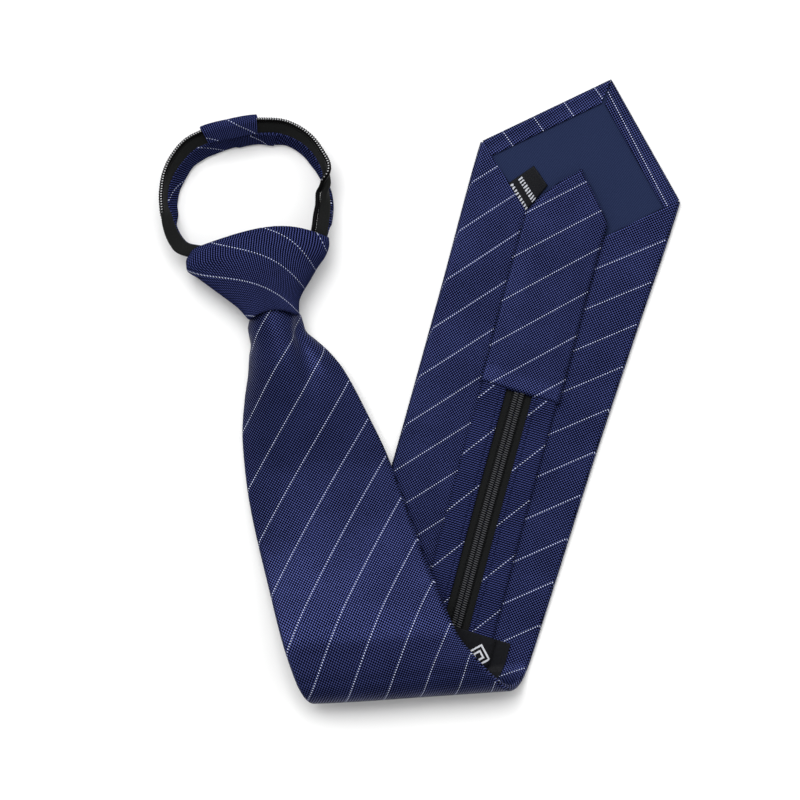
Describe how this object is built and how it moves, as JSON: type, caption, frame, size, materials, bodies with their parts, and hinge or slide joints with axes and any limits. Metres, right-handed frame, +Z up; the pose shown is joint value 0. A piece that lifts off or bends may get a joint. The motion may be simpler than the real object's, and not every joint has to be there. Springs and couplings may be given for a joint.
{
  "type": "zipper tie",
  "caption": "Pre-tied pinstriped necktie with a zipped tail and neck loop, lying folded in two with its back and zip showing.",
  "frame": {"origin": "on the table under the middle of the far arm, the part of the blade that lies flat on its face", "axes": "+Z up from the table; +Y from the fold towards the knot and the point; +X from the near arm with the knot to the far arm"},
  "size_m": [0.208, 0.2492, 0.022],
  "materials": {
    "navy_weave": "navy polyester weave with dotted white pinstripes",
    "navy_lining": "plain navy lining",
    "black_tape": "black woven zip tape",
    "black_coil": "black nylon zip coil",
    "black_satin": "black satin label",
    "slider_metal": "plain metal slider hidden in the knot"
  },
  "bodies": {
    "root": {"front_blade": "navy_weave", "tip_lining": "navy_lining", "care_label": "black_satin", "tail_panel": "navy_weave", "tail_strip_left": "navy_weave", "tail_strip_right": "navy_weave", "tail_tape_left": "black_tape", "tail_tape_right": "black_tape", "tail_coil": "black_coil", "keeper_loop": "black_satin", "knot": "navy_weave", "zip_slider": "slider_metal", "neck_band_left": "navy_weave", "neck_tape_left": "black_tape", "neck_coil_left": "black_coil", "neck_band_right": "navy_weave", "neck_tape_right": "black_tape", "neck_coil_right": "black_coil", "neck_sleeve": "navy_weave"}
  },
  "joints": []
}
